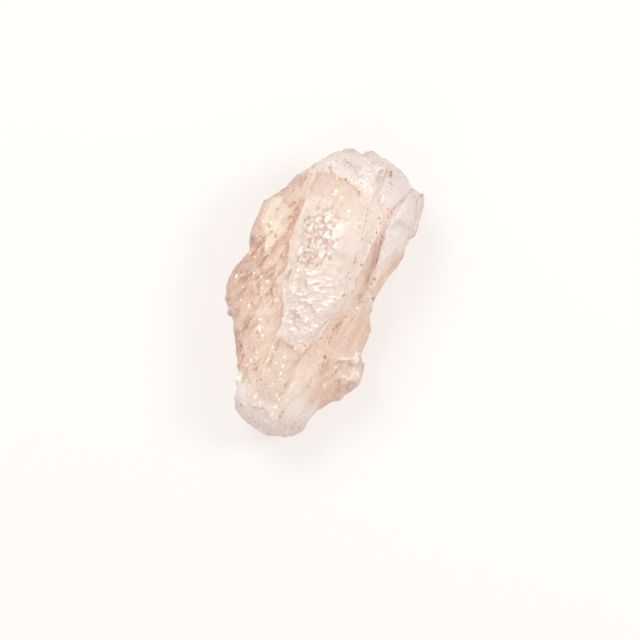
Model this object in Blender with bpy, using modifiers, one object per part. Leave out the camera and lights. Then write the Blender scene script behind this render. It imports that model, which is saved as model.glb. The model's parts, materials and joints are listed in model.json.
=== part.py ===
"""A rough morganite crystal of 108 carats, lying on its flattest side.

The crystal is one piece. It is a broken length of a six-sided prism, so its ridges run along its own long
axis: the body is a loft of cross sections, each of which joins the same seventeen lengthwise edges. Chips,
ledges and steps are then cut out of the body, its skin is roughened, and the underside is cut flat.

Frame: +Y along the crystal, from its pale foot to its broken top. +Z up. The origin is on the surface that
the crystal lies on, under the middle of its outline.
"""

import math

import bmesh
import bpy
import numpy as np
from mathutils import Matrix, Vector, noise

MM = 0.001

# Overall size in metres, set by the crystal's weight: 108 carats of beryl take up 7.7 cubic centimetres
LENGTH = 41.8 * MM
WIDTH = 22.5 * MM
THICKNESS = 18.2 * MM

# The lines below are drawn in millimetres, y along the crystal, x across it and z up from its resting face
FOOT_Y = -20.9
TOP_Y = 20.95
STATION_STEP = 0.4

# The skin: voxel of the remesh, and the number of triangles that the finished solid keeps
VOXEL = 0.32 * MM
TRIANGLES = 9000
REST_CUT = 0.22 * MM

PEACH = (0.83, 0.62, 0.52, 1.0)


# The outline seen from above: (y, x) along the left side and along the right side, from foot to top
LEFT_OUTLINE = [
    (-20.9, 1.0), (-20.55, 0.0), (-20.2, -1.0), (-19.8, -2.2), (-19.3, -3.1), (-18.6, -3.7), (-17.8, -4.2),
    (-16.9, -4.5), (-16.3, -4.4), (-15.0, -5.0), (-13.2, -5.8), (-11.0, -6.9), (-8.9, -7.5), (-8.5, -7.9),
    (-7.0, -9.5), (-5.2, -10.75), (-2.9, -11.4), (-1.8, -11.35), (-0.9, -11.1), (0.7, -10.45), (2.0, -9.9),
    (3.5, -10.3), (5.5, -10.85), (8.3, -11.0), (8.9, -10.95), (9.7, -10.65), (10.9, -9.6), (12.1, -8.5),
    (12.7, -8.2), (14.8, -7.45), (16.8, -6.3), (17.9, -5.35), (19.0, -4.5), (19.8, -3.7), (20.5, -2.8),
    (20.8, -1.2), (20.75, 0.0), (20.95, 2.6),
]
RIGHT_OUTLINE = [
    (-20.9, 2.2), (-20.75, 2.9), (-20.3, 4.1), (-19.8, 5.2), (-18.8, 6.35), (-18.2, 6.8), (-17.4, 7.4),
    (-16.5, 7.7), (-14.9, 7.65), (-14.3, 7.8), (-13.7, 8.6), (-12.2, 9.75), (-10.6, 10.8), (-9.9, 11.1),
    (-9.3, 11.4), (-8.7, 11.6), (-7.6, 11.55), (-6.0, 11.15), (-5.5, 10.5), (-4.4, 10.5), (-3.0, 10.35),
    (-2.0, 10.35), (-0.3, 9.8), (1.3, 9.1), (3.3, 9.1), (5.4, 9.6), (7.7, 10.2), (9.8, 10.5), (11.7, 10.5),
    (12.0, 10.7), (12.5, 11.0), (13.1, 11.1), (14.7, 10.7), (16.6, 10.3), (17.4, 10.0), (18.1, 9.6),
    (18.6, 9.2), (18.8, 7.8), (19.45, 6.9), (20.15, 5.8), (20.4, 4.4), (20.75, 3.7), (20.95, 3.4),
]

# The lengthwise edges, in order round the section from the left side over the top: each has its places
# across, (y, x), and its heights, (y, z)
EDGES = {
    "left_side": (
        LEFT_OUTLINE,
        [(-20.9, 4.8), (-17, 5.2), (-12, 5.6), (-8, 5.4), (-3, 5.6), (2, 6.6), (6, 6.2), (10, 6.8),
         (14, 7.6), (18, 8.2), (20.95, 8.6)],
    ),
    "left_shoulder": (
        [(-20.9, 1.1), (-20, -0.9), (-19, -2.4), (-17.5, -3.2), (-15, -3.9), (-12, -5.1), (-9, -6.5),
         (-6, -8.8), (-3, -9.9), (-1, -10.0), (2, -9.1), (4, -9.6), (8, -9.9), (10, -9.0), (12, -7.8),
         (15, -6.2), (18, -4.1), (19.6, -2.2), (20.4, 0.2), (20.95, 2.65)],
        [(-20.9, 5.4), (-20, 7.2), (-17.5, 8.6), (-12, 9.2), (-6, 8.8), (-2, 9.2), (2, 10.2), (6, 10.2),
         (10, 10.8), (14, 11.4), (18, 11.2), (20, 10.4), (20.95, 9.4)],
    ),
    "left_flank": (
        [(-20.9, 1.2), (-20, -0.3), (-17.5, -2.4), (-14, -3.0), (-10, -4.3), (-6, -6.2), (-2, -7.2),
         (3, -7.6), (6.5, -6.7), (10, -6.6), (13, -6.1), (16, -4.4), (18.5, -2.6), (20, -0.4),
         (20.95, 2.7)],
        [(-20.9, 5.5), (-20, 8.0), (-17.5, 9.6), (-14, 10.6), (-10, 11.1), (-6, 11.2), (-2, 11.4),
         (3, 11.8), (6.5, 12.5), (10, 12.4), (13, 12.9), (16, 13.1), (18.5, 12.3), (20, 11.0),
         (20.95, 9.5)],
    ),
    "slab_left_foot": (
        [(-20.9, 1.3), (-20, 0.2), (-17.5, -1.7), (-14, -2.3), (-10, -2.3), (-7.5, -2.6), (-5, -3.0),
         (-3, -3.9), (-1, -4.9), (2.5, -5.3), (6, -5.5), (10, -5.6), (14, -5.5), (16, -3.9), (18.5, -2.0),
         (20, 0.0), (20.95, 2.75)],
        [(-20.9, 5.6), (-20, 8.2), (-17.5, 9.9), (-14, 11.3), (-10, 12.1), (-7.5, 12.4), (-5, 12.7),
         (-1, 12.8), (2.5, 13.0), (6, 13.3), (16, 13.6), (18.5, 12.6), (20, 11.2), (20.95, 9.6)],
    ),
    "slab_left_edge": (
        [(-20.9, 1.4), (-20, 0.5), (-17.5, -1.3), (-14, -1.8), (-7.5, -1.9), (-5, -2.1), (-3, -2.9),
         (-1, -3.7), (2.5, -4.2), (5, -4.8), (10, -5.0), (14, -4.9), (15.5, -4.4), (16, -3.4),
         (18.5, -1.4), (20, 0.5), (20.95, 2.8)],
        [(-20.9, 5.7), (-20, 8.4), (-17.5, 10.3), (-14, 11.9), (-10, 12.7), (-8.2, 12.9), (-7.6, 13.5),
         (-5, 14.0), (-3, 14.4), (-1, 14.6), (6, 14.8), (10, 14.8), (14, 14.5), (16, 14.0), (18.5, 12.8),
         (20, 11.4), (20.95, 9.7)],
    ),
    "slab_crest": (
        [(-20.9, 1.5), (-20, 1.3), (-17.5, 0.4), (-14, 0.0), (-10, 0.2), (-7, 0.4), (-3, 0.3), (2, -0.6),
         (7, -1.2), (12, -1.0), (15.3, -0.6), (17, 0.2), (18.5, 1.0), (20, 2.0), (20.95, 2.9)],
        [(-20.9, 5.7), (-20, 8.6), (-17.5, 10.7), (-14, 12.3), (-10, 13.0), (-8.2, 13.2), (-7.8, 14.0),
         (-6, 14.8), (-3, 15.6), (2, 16.3), (7, 16.5), (12, 16.1), (15.1, 15.4), (15.5, 14.9), (17, 14.3),
         (18.5, 13.4), (20, 11.9), (20.95, 9.8)],
    ),
    "slab_right_bevel": (
        [(-20.9, 1.6), (-20, 1.9), (-17.5, 1.5), (-14, 1.4), (-10, 1.5), (-8, 1.7), (-5.5, 2.5),
         (-2.5, 3.4), (0, 4.2), (4, 4.1), (8, 3.9), (12, 3.6), (15, 3.3), (18, 3.5), (19.3, 3.2),
         (20.3, 3.1), (20.95, 3.0)],
        [(-20.9, 5.7), (-20, 8.6), (-17.5, 10.6), (-14, 12.1), (-10, 12.7), (-8, 13.6), (-5.5, 14.3),
         (-2.5, 14.9), (0, 15.4), (4, 15.7), (8, 15.8), (12, 15.5), (15, 14.9), (18, 13.9), (19.3, 13.1),
         (20.3, 11.5), (20.95, 9.8)],
    ),
    "slab_right_edge": (
        [(-20.9, 1.7), (-20, 2.3), (-17.5, 2.0), (-14, 1.8), (-10, 1.9), (-8.3, 2.1), (-6.5, 2.8),
         (-5, 3.2), (-3.5, 3.5), (-2, 4.2), (-0.7, 4.9), (1, 5.0), (2.2, 5.15), (3.2, 5.35), (4.5, 5.2),
         (9, 5.2), (11, 5.35), (13, 5.2), (14.3, 4.2), (16, 3.9), (18, 3.9), (19.3, 3.5), (20.3, 3.3),
         (20.95, 3.1)],
        [(-20.9, 5.7), (-20, 8.5), (-17.5, 10.4), (-14, 11.8), (-10, 12.4), (-8.3, 13.1), (-6.5, 13.6),
         (-4, 14.1), (-1, 14.6), (3, 14.8), (8, 14.8), (12, 14.3), (14.3, 14.3), (16, 14.0), (18, 13.4),
         (19.3, 12.7), (20.3, 11.3), (20.95, 9.8)],
    ),
    "ledge_foot": (
        [(-20.9, 1.8), (-20, 2.6), (-17.5, 2.4), (-14, 2.1), (-10, 2.2), (-8.3, 2.4), (-6.5, 3.1),
         (-5, 3.5), (-3.5, 3.8), (-2, 4.5), (-0.7, 5.2), (1, 5.3), (2.2, 5.4), (3.2, 5.6), (4.5, 5.45),
         (9, 5.5), (11, 5.65), (13, 5.5), (14.3, 4.6), (16, 4.2), (18, 4.2), (19.3, 3.8), (20.3, 3.5),
         (20.95, 3.15)],
        [(-20.9, 5.7), (-20, 8.4), (-17.5, 10.2), (-14, 11.5), (-10, 11.6), (-8.3, 11.8), (-6.5, 12.0),
         (-4, 12.2), (-1, 12.3), (3, 12.3), (8, 12.6), (11, 13.0), (13, 13.2), (14.3, 13.4), (16, 13.3),
         (18, 12.8), (19.3, 12.2), (20.3, 11.1), (20.95, 9.8)],
    ),
    "valley": (
        [(-20.9, 1.9), (-20, 3.2), (-17.5, 4.0), (-14, 4.6), (-10, 5.0), (-7.5, 5.2), (-4, 5.0),
         (-1.5, 5.8), (1, 6.1), (4, 6.2), (7, 6.2), (10, 6.3), (12, 6.2), (14, 5.9), (16, 5.6), (18, 5.2),
         (19.3, 4.6), (20.3, 4.0), (20.95, 3.2)],
        [(-20.9, 5.7), (-20, 8.0), (-17.5, 9.5), (-14, 10.4), (-10, 10.8), (-7.5, 11.1), (-4, 11.6),
         (-1.5, 11.8), (1, 11.5), (4, 11.4), (7, 11.6), (10, 12.1), (12, 12.6), (14, 12.9), (16, 12.8),
         (18, 12.3), (19.3, 11.6), (20.3, 10.6), (20.95, 9.7)],
    ),
    "wing_ridge": (
        [(-20.9, 2.0), (-20, 3.7), (-17.5, 5.0), (-14.8, 5.8), (-12, 6.6), (-9, 7.2), (-7.2, 7.4),
         (-4, 7.3), (0, 7.2), (2, 7.6), (4, 7.4), (7, 7.1), (9, 6.9), (12, 6.8), (15, 6.9), (17, 7.2),
         (18.2, 7.3), (19.3, 5.9), (20.3, 4.6), (20.95, 3.25)],
        [(-20.9, 5.7), (-20, 7.6), (-17.5, 8.7), (-14.8, 8.9), (-12, 9.2), (-9, 9.6), (-7.2, 10.0),
         (-4, 10.5), (0, 11.2), (2, 11.2), (4, 11.8), (7, 12.5), (9, 12.8), (12, 12.9), (15, 12.5),
         (17, 11.8), (18.2, 11.1), (19.3, 10.6), (20.3, 10.0), (20.95, 9.5)],
    ),
    "right_shoulder": (
        [(-20.9, 2.1), (-20, 4.2), (-18.5, 5.3), (-16.5, 6.1), (-14.8, 6.4), (-13, 7.7), (-11, 9.2),
         (-9, 10.3), (-7, 9.9), (-5.7, 9.3), (-4, 9.3), (-1, 8.8), (1.5, 8.1), (4, 8.5), (7, 9.1),
         (10, 9.4), (12, 9.4), (14, 9.8), (16, 9.4), (17.6, 8.8), (18.1, 7.9), (18.8, 6.7), (20, 5.2),
         (20.95, 3.3)],
        [(-20.9, 5.6), (-20, 6.8), (-18.5, 7.4), (-11, 7.4), (-9, 8.4), (-7, 8.8), (-5.7, 8.5), (-4, 8.3),
         (-1, 8.9), (1.5, 9.4), (4, 9.8), (7, 10.4), (10, 10.7), (14, 10.9), (16, 10.4), (18.1, 9.6),
         (20, 9.1), (20.95, 9.2)],
    ),
    "right_side": (
        RIGHT_OUTLINE,
        [(-20.9, 4.9), (-17, 4.8), (-14.7, 4.6), (-12, 4.6), (-9, 5.2), (-5, 5.2), (0, 5.8), (5, 6.2),
         (10, 6.6), (14, 7.0), (18, 7.2), (20.95, 8.7)],
    ),
    "under_right": (
        [(-20.9, 2.1), (-19, 4.4), (-16, 5.8), (-14, 6.2), (-10, 8.6), (-6, 8.3), (-2, 8.0), (2, 7.2),
         (6, 7.9), (11, 8.5), (15, 8.6), (18, 6.8), (20, 4.8), (20.95, 3.2)],
        [(-20.9, 4.2), (-19, 2.0), (-16, 1.3), (-10, 1.5), (-2, 1.6), (2, 2.0), (6, 1.8), (11, 1.8),
         (15, 2.0), (18, 2.6), (20, 4.4), (20.95, 7.0)],
    ),
    "rest_right": (
        [(-20.9, 1.9), (-19, 2.9), (-14, 4.1), (-8, 5.4), (0, 4.9), (8, 5.3), (13, 5.0), (18, 4.2),
         (20.95, 3.0)],
        [(-20.9, 3.8), (-20, 1.9), (-17.5, 0.4), (-15, 0.0), (13, 0.0), (16, 0.5), (18.5, 1.8), (20, 3.6),
         (20.95, 6.6)],
    ),
    "rest_left": (
        [(-20.9, 1.3), (-19, -0.8), (-14, -2.2), (-8, -4.6), (0, -6.2), (8, -5.4), (13, -3.8), (18, -1.2),
         (20.95, 2.7)],
        [(-20.9, 3.8), (-20, 1.9), (-17.5, 0.4), (-15, 0.0), (13, 0.0), (16, 0.5), (18.5, 1.8), (20, 3.6),
         (20.95, 6.6)],
    ),
    "under_left": (
        [(-20.9, 1.1), (-19, -2.0), (-14, -3.8), (-10, -5.2), (-6, -7.8), (-2, -8.9), (2, -8.2), (8, -8.4),
         (12, -6.6), (16, -4.4), (19, -1.8), (20.95, 2.6)],
        [(-20.9, 4.2), (-19, 2.0), (-14, 1.6), (-6, 1.3), (0, 1.5), (8, 1.8), (12, 2.0), (16, 2.6),
         (19, 3.8), (20.95, 7.0)],
    ),
}


def clear_scene():
    for obj in list(bpy.data.objects):
        bpy.data.objects.remove(obj)


def collection(name):
    made = bpy.data.collections.new(name)
    bpy.context.scene.collection.children.link(made)
    return made


def at(line, y):
    """The value of a line of (y, value) pairs at y."""
    places, values = zip(*line)
    return float(np.interp(y, places, values))


def loft_body(name, home):
    """The crystal before it was chipped: a skin over the lengthwise edges, closed at both ends."""
    stations = np.linspace(FOOT_Y, TOP_Y, round((TOP_Y - FOOT_Y) / STATION_STEP) + 1)
    bm = bmesh.new()
    rings = [
        [bm.verts.new(Vector((at(plan, y), y, at(heights, y))) * MM) for plan, heights in EDGES.values()]
        for y in stations
    ]
    around = len(EDGES)
    for ring, following in zip(rings, rings[1:]):
        for i in range(around):
            j = (i + 1) % around
            bm.faces.new((ring[i], ring[j], following[j], following[i]))
    bm.faces.new(rings[0])
    bm.faces.new(rings[-1])
    bmesh.ops.triangulate(bm, faces=bm.faces[:])
    bmesh.ops.recalc_face_normals(bm, faces=bm.faces[:])
    mesh = bpy.data.meshes.new(name)
    bm.to_mesh(mesh)
    bm.free()
    obj = bpy.data.objects.new(name, mesh)
    home.objects.link(obj)
    return obj


# Flat breaks of the upper side, each cut by a tapered block that lies on the skin: its place (x, y), how
# deep it is sunk, how it leans from the skin in x and y, its size, its number of corners and its turn
BREAKS = [
    # the smooth plate on the right of the top, and the mottled side and the saddle left of it
    ((5.7, 17.2), 0.55, (0.10, 0.05), (4.6, 8.0), 4, 50),
    ((-2.8, 18.0), 0.50, (-0.05, 0.10), (3.6, 2.6), 6, 20),
    ((-0.8, 17.0), 0.45, (0.05, 0.10), (4.4, 2.2), 5, -20),
    # the outer side of the wing, and the breaks below it
    ((9.4, 15.4), 0.25, (0.10, 0.00), (3.8, 6.6), 5, 10),
    ((9.6, 8.2), 0.30, (0.12, -0.05), (4.2, 6.4), 6, 0),
    ((8.3, 12.0), 0.30, (-0.10, 0.05), (2.8, 3.6), 5, 35),
    # the pale flake high on the left, and the break under its lower end
    ((-8.2, 7.3), 0.45, (0.05, 0.00), (3.6, 7.6), 6, 8),
    ((-9.6, 2.4), 0.60, (-0.10, -0.10), (3.6, 5.2), 5, 20),
    ((-7.6, 13.0), 0.45, (-0.10, 0.05), (3.2, 6.0), 5, -30),
    # the lower left flank
    ((-9.4, -3.0), 0.50, (0.05, 0.05), (4.6, 6.6), 6, 24),
    ((-7.2, -7.4), 0.50, (-0.05, -0.10), (4.4, 5.6), 5, 30),
    ((-5.2, -12.4), 0.45, (-0.10, -0.05), (3.2, 6.0), 5, 16),
    # the flat of the right flank, and the break below the slab's tip
    ((7.9, -1.6), 0.45, (0.06, 0.00), (4.4, 9.0), 6, -3),
    ((5.6, -11.2), 0.40, (0.10, -0.05), (4.0, 7.0), 5, 4),
    # the facets of the block low on the right
    ((8.0, -8.3), 0.65, (-0.30, -0.10), (2.3, 3.4), 4, 62),
    ((9.7, -7.9), 0.50, (0.15, 0.00), (2.2, 3.4), 4, 40),
    ((9.6, -10.6), 0.45, (0.10, -0.20), (3.0, 4.6), 5, -34),
    # the foot: its oval plate, its pale side and its blunt end
    ((4.7, -16.6), 0.60, (0.05, -0.05), (5.4, 6.4), 7, 10),
    ((-3.4, -16.6), 0.50, (-0.10, 0.00), (3.0, 5.0), 5, 20),
    ((0.0, -18.8), 0.45, (0.00, 0.05), (5.0, 3.4), 6, -12),
]


# The steep sides are broken off in rows of flats: the angle of each row round the crystal's axis, from +X
# over the top, and how deep its flats are sunk at most. They follow each other along the axis by one step
SIDE_ROWS = [(-46, 0.9), (-32, 0.8), (-18, 0.45), (198, 0.45), (211, 0.8), (224, 0.9)]
SIDE_STEP = 6.2
AXIS_X = 0.4
AXIS_Z = 6.4

# The angles at which the foot and the top are broken below their outlines
END_ANGLES = (222, 252, 285, 316)


def skin_above(obj, place):
    """The point of the skin over a place, and which way the skin faces there."""
    start = Vector((place[0] * MM, place[1] * MM, 0.1))
    hit, point, facing, face = obj.ray_cast(start, Vector((0, 0, -1)))
    return point, facing


def skin_beside(obj, y, angle):
    """The point of the skin at an angle round the crystal's axis, and which way the skin faces there."""
    turned = math.radians(angle)
    outwards = Vector((math.cos(turned), 0, math.sin(turned)))
    start = Vector((AXIS_X * MM, y * MM, AXIS_Z * MM)) + outwards * 0.1
    hit, point, facing, face = obj.ray_cast(start, -outwards)
    return point, facing


def add_break(home, point, normal, sunk, size, corners, turn):
    """A tapered block whose small end lies in the break."""
    depth = 4.0 * MM
    along = (Vector((0, 1, 0)) - normal * normal.y).normalized()
    across = along.cross(normal)
    axes = Matrix((across, along, normal)).transposed().to_4x4()
    bpy.ops.mesh.primitive_cone_add(vertices=corners, radius1=0.5, radius2=0.95, depth=1)
    block = bpy.context.object
    block.name = "break"
    block.matrix_world = (
        Matrix.Translation(point + normal * (depth / 2 - sunk * MM))
        @ axes
        @ Matrix.Diagonal((size[0] * MM, size[1] * MM, depth, 1))
        @ Matrix.Rotation(math.radians(turn), 4, "Z")
    )
    block.hide_render = True
    block.display_type = "WIRE"
    for holder in block.users_collection:
        holder.objects.unlink(block)
    home.objects.link(block)


def break_top(crystal, home):
    for place, sunk, lean, size, corners, turn in BREAKS:
        point, facing = skin_above(crystal, place)
        normal = (facing + Vector((*lean, 0))).normalized()
        add_break(home, point, normal, sunk, size, corners, turn)


def break_sides(crystal, home, chance):
    for row, (angle, deepest) in enumerate(SIDE_ROWS):
        for y in np.arange(-17.5 + 2.1 * (row % 3), 18.5, SIDE_STEP):
            point, facing = skin_beside(crystal, y + chance.uniform(-1, 1), angle + chance.uniform(-5, 5))
            lean = Vector(chance.uniform(-0.22, 0.22, 3))
            size = (chance.uniform(3.6, 6.4), chance.uniform(6.0, 12.0))
            sunk = chance.uniform(0.5, 1.0) * deepest
            add_break(home, point, (facing + lean).normalized(), sunk, size, int(chance.integers(4, 7)), 0)


def break_ends(crystal, home, chance):
    for end in (-1, 1):
        for angle in END_ANGLES:
            turned = math.radians(angle)
            outwards = Vector((math.cos(turned) * 0.5, end, math.sin(turned) * 0.5)).normalized()
            start = Vector((1.6 * MM, end * 14 * MM, 6 * MM)) + outwards * 0.1
            hit, point, facing, face = crystal.ray_cast(start, -outwards)
            size = (chance.uniform(5, 8), chance.uniform(4, 6))
            add_break(home, point, (facing + outwards).normalized(), 0.5, size, 5, chance.uniform(0, 70))


def subtract(crystal, home):
    cut = crystal.modifiers.new("breaks", "BOOLEAN")
    cut.operation = "DIFFERENCE"
    cut.solver = "EXACT"
    cut.operand_type = "COLLECTION"
    cut.collection = home
    apply_modifiers(crystal)


def apply_modifiers(obj):
    bpy.context.view_layer.update()
    depsgraph = bpy.context.evaluated_depsgraph_get()
    shaped = bpy.data.meshes.new_from_object(obj.evaluated_get(depsgraph))
    obj.modifiers.clear()
    obj.data = shaped


def remesh(obj, voxel):
    even = obj.modifiers.new("even skin", "REMESH")
    even.mode = "VOXEL"
    even.voxel_size = voxel
    apply_modifiers(obj)


def thin_out(obj, triangles):
    obj.data.calc_loop_triangles()
    fewer = obj.modifiers.new("fewer triangles", "DECIMATE")
    fewer.ratio = triangles / len(obj.data.loop_triangles)
    apply_modifiers(obj)


def ramp(value, low, high):
    """0 below low, 1 above high and a smooth rise between them."""
    t = min(max((value - low) / (high - low), 0.0), 1.0)
    return t * t * (3 - 2 * t)


def tooth(value):
    """A tooth that climbs slowly from 0 to 1 and drops back within a fifth of its length."""
    along = value - math.floor(value)
    return along / 0.8 if along < 0.8 else (1 - along) / 0.2


def scallop(x, y, z, size, stretch):
    """Shallow shell-shaped hollows with ridges between them: 0 in a hollow and about 1 on a ridge."""
    nearest = noise.voronoi(Vector((x / size, y / (size * stretch), z / size)))[0]
    return min(nearest[0] / max(nearest[1], 0.001), 1.0)


def flats(x, y, z, size, stretch):
    """Flat patches that each tilt their own way, from about -1 to 1."""
    place = Vector((x / size, y / (size * stretch), z / size))
    middle = noise.voronoi(place)[1][0]
    tilt = noise.cell_vector(middle * 40) - Vector((0.5, 0.5, 0.5))
    return 3 * tilt.dot(place - middle)


def terrace(value, steps):
    """A value from 0 to 1 in flat steps with short rises between them."""
    level = math.floor(value * steps)
    return (level + ramp(value * steps - level, 0.7, 1.0)) / steps


def relief(x, y, z, up):
    """How far the skin stands out at a point, in millimetres, where up is the rise of its normal."""
    wander = noise.noise(Vector((x, y, z)) / 5.0)
    chips = 0.32 * flats(x, y, z, 4.2, 2.4) + 0.12 * flats(x + 9, y, z, 1.8, 2.0)
    outline = math.exp(-((up / 0.22) ** 2))
    height = 0.15 * wander + chips * (1 - 0.55 * ramp(up, 0.3, 0.8)) * (1 - 0.6 * outline)

    # columns run along the steep sides in straight steps
    side = ramp(0.45 - up, 0.0, 0.4)
    column = 0.5 + 0.85 * noise.noise(Vector((x / 2.4, y / 30.0, z / 2.4)))
    column += 0.25 * noise.noise(Vector((x / 1.2, y / 14.0 + 7, z / 1.2)))
    height += side * 1.2 * (terrace(min(max(column, 0.0), 0.999), 4) - 0.62)

    # shingles lean across the left flank, one over the next
    slab_side = at([(-20, -2.4), (-8, -2.8), (0, -4.6), (16, -5.6), (20, -3.0)], y)
    left = ramp(slab_side - x, 0.0, 1.4) * ramp(up, -0.1, 0.3) * ramp(y, -19.0, -16.5)
    chipped = noise.noise(Vector((x, y, z)) / 2.2)
    shingle = tooth((0.93 * x - 0.37 * y) / 2.2 + 1.3 * wander + 0.5 * chipped)
    height += left * 0.5 * (shingle - 0.5) * ramp(chipped + 0.5 * wander, -0.4, 0.3)

    # straight steps run down the right flank
    right = ramp(x, 4.6, 5.8) * ramp(-y, -2.5, 0.5) * ramp(y, -14.5, -12.5) * ramp(up, 0.0, 0.4)
    height += right * 0.35 * (tooth((x - 0.06 * y) / 1.5 + 0.35 * wander) - 0.5)

    # the crinkled middle of the slab
    crinkled = ramp(5.5 - abs(x + 0.6), 0, 2.0) * ramp(10 - abs(y), 0, 3) * ramp(up, 0.5, 0.8)
    height += crinkled * 0.34 * (scallop(x, y, z + 4, 1.5, 1.2) - 0.5)

    # the underside is worn flat
    return height * (1 - 0.85 * ramp(-up, 0.85, 0.97))


def keep_largest_body(obj):
    """Drops the loose crumbs that a cut leaves beside the crystal."""
    bm = bmesh.new()
    bm.from_mesh(obj.data)
    unseen = set(bm.verts)
    bodies = []
    while unseen:
        body = {unseen.pop()}
        edge_of_body = list(body)
        while edge_of_body:
            vert = edge_of_body.pop()
            found = {edge.other_vert(vert) for edge in vert.link_edges} & unseen
            unseen -= found
            body |= found
            edge_of_body.extend(found)
        bodies.append(body)
    bodies.sort(key=len)
    for crumb in bodies[:-1]:
        bmesh.ops.delete(bm, geom=list(crumb), context="VERTS")
    bm.to_mesh(obj.data)
    bm.free()


def roughen(obj):
    bm = bmesh.new()
    bm.from_mesh(obj.data)
    bm.normal_update()
    moves = []
    for vert in bm.verts:
        x, y, z = vert.co / MM
        moves.append(vert.normal * relief(x, y, z, vert.normal.z) * MM)
    for vert, move in zip(bm.verts, moves):
        vert.co += move
    bm.to_mesh(obj.data)
    bm.free()


def cut_flat(obj, height):
    """Cuts the underside off at a height, which leaves the flat face that the crystal rests on."""
    bm = bmesh.new()
    bm.from_mesh(obj.data)
    cut = bmesh.ops.bisect_plane(
        bm, geom=bm.verts[:] + bm.edges[:] + bm.faces[:], dist=1e-6,
        plane_co=(0, 0, height), plane_no=(0, 0, -1), clear_outer=True,
    )
    rim = [item for item in cut["geom_cut"] if isinstance(item, bmesh.types.BMEdge)]
    bmesh.ops.holes_fill(bm, edges=rim, sides=0)
    bmesh.ops.triangulate(bm, faces=bm.faces[:])
    bmesh.ops.recalc_face_normals(bm, faces=bm.faces[:])
    bm.to_mesh(obj.data)
    bm.free()


def fit_to_size(obj):
    """Brings the crystal to its size and puts the origin under the middle of its outline."""
    corners = np.array([vert.co for vert in obj.data.vertices])
    low, high = corners.min(axis=0), corners.max(axis=0)
    factors = np.array((WIDTH, LENGTH, THICKNESS)) / (high - low)
    middle = (low + high) / 2
    middle[2] = low[2]
    obj.data.transform(Matrix.Diagonal((*factors, 1)) @ Matrix.Translation(-Vector(middle)))


def paint(obj):
    stone = bpy.data.materials.new("morganite")
    stone.use_nodes = True
    shader = stone.node_tree.nodes["Principled BSDF"]
    shader.inputs["Base Color"].default_value = PEACH
    shader.inputs["Roughness"].default_value = 0.25
    shader.inputs["Metallic"].default_value = 0.0
    shader.inputs["IOR"].default_value = 1.58
    obj.data.materials.clear()
    obj.data.materials.append(stone)


def main():
    clear_scene()
    home = collection("morganite")
    cutters = collection("breaks")
    crystal = loft_body("morganite_crystal", home)
    bpy.context.view_layer.update()
    chance = np.random.default_rng(12)
    break_top(crystal, cutters)
    break_sides(crystal, cutters, chance)
    break_ends(crystal, cutters, chance)
    subtract(crystal, cutters)
    remesh(crystal, VOXEL)
    keep_largest_body(crystal)
    roughen(crystal)
    thin_out(crystal, TRIANGLES)
    cut_flat(crystal, REST_CUT)
    keep_largest_body(crystal)
    fit_to_size(crystal)
    paint(crystal)


main()
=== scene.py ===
import json
import math

import bpy
import numpy as np
from bpy.props import FloatProperty, FloatVectorProperty, IntProperty, PointerProperty
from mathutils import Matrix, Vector, noise

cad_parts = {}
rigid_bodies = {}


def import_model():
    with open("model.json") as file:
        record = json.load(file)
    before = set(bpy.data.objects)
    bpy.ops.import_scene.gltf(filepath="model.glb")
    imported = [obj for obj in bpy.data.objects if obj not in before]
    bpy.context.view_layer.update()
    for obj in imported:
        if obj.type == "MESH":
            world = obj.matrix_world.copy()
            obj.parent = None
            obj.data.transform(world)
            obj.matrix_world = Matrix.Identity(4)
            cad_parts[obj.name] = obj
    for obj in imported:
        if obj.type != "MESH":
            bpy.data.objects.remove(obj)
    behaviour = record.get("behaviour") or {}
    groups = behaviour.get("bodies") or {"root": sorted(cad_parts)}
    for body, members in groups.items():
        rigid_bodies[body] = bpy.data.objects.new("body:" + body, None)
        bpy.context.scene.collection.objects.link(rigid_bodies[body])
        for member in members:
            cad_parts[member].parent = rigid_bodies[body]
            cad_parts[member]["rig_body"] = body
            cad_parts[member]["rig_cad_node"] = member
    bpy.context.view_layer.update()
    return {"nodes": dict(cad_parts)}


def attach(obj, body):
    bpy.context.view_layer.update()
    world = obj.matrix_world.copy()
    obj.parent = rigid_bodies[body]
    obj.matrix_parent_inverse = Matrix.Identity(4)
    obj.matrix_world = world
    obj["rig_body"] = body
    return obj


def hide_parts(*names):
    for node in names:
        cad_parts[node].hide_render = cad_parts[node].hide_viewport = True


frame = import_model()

bl_info = {
    "name": "Rough Morganite",
    "version": (1, 0, 0),
    "blender": (4, 5, 0),
    "location": "View3D > Sidebar > Morganite",
    "description": "Models a rough morganite crystal that lies on its flattest side",
    "category": "Add Mesh",
}

NODE = "morganite_crystal"
MM = 0.001

# The camera looks straight down, and is turned against the crystal, whose long axis is +Y
CAMERA_TURN = math.radians(22)
CAMERA_OVER = (2.72 * MM, -3.31 * MM)
PICTURE_WIDTH = 88.06 * MM
SENSOR_WIDTH = 36
STONE_MIDDLE = 8 * MM

# The lights, with their places and their widths in metres
KEY_LIGHT = ((-0.17, 0.12, 0.30), 0.16)
SIDE_LIGHT = ((0.20, 0.14, 0.27), 0.10)
FOOT_LIGHT = ((-0.04, -0.24, 0.26), 0.04)
FOOT_SHARE = 0.2

# The stone's optics, and the colours that its fields and marks are mixed towards
IOR = 1.58
TRANSMISSION = 0.92
INSIDE = (1.0, 0.80, 0.68, 1)
# The next colour is the white of chips and cells, and of the painted highlights on crests and sparkles
WHITE_AND_HIGHLIGHT = (1.0, 0.985, 0.965, 1)
GREY = (0.94, 0.93, 0.93, 1)
SHADE = (0.78, 0.68, 0.635, 1)
DEEP_SHADE = (0.74, 0.62, 0.545, 1)
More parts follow.
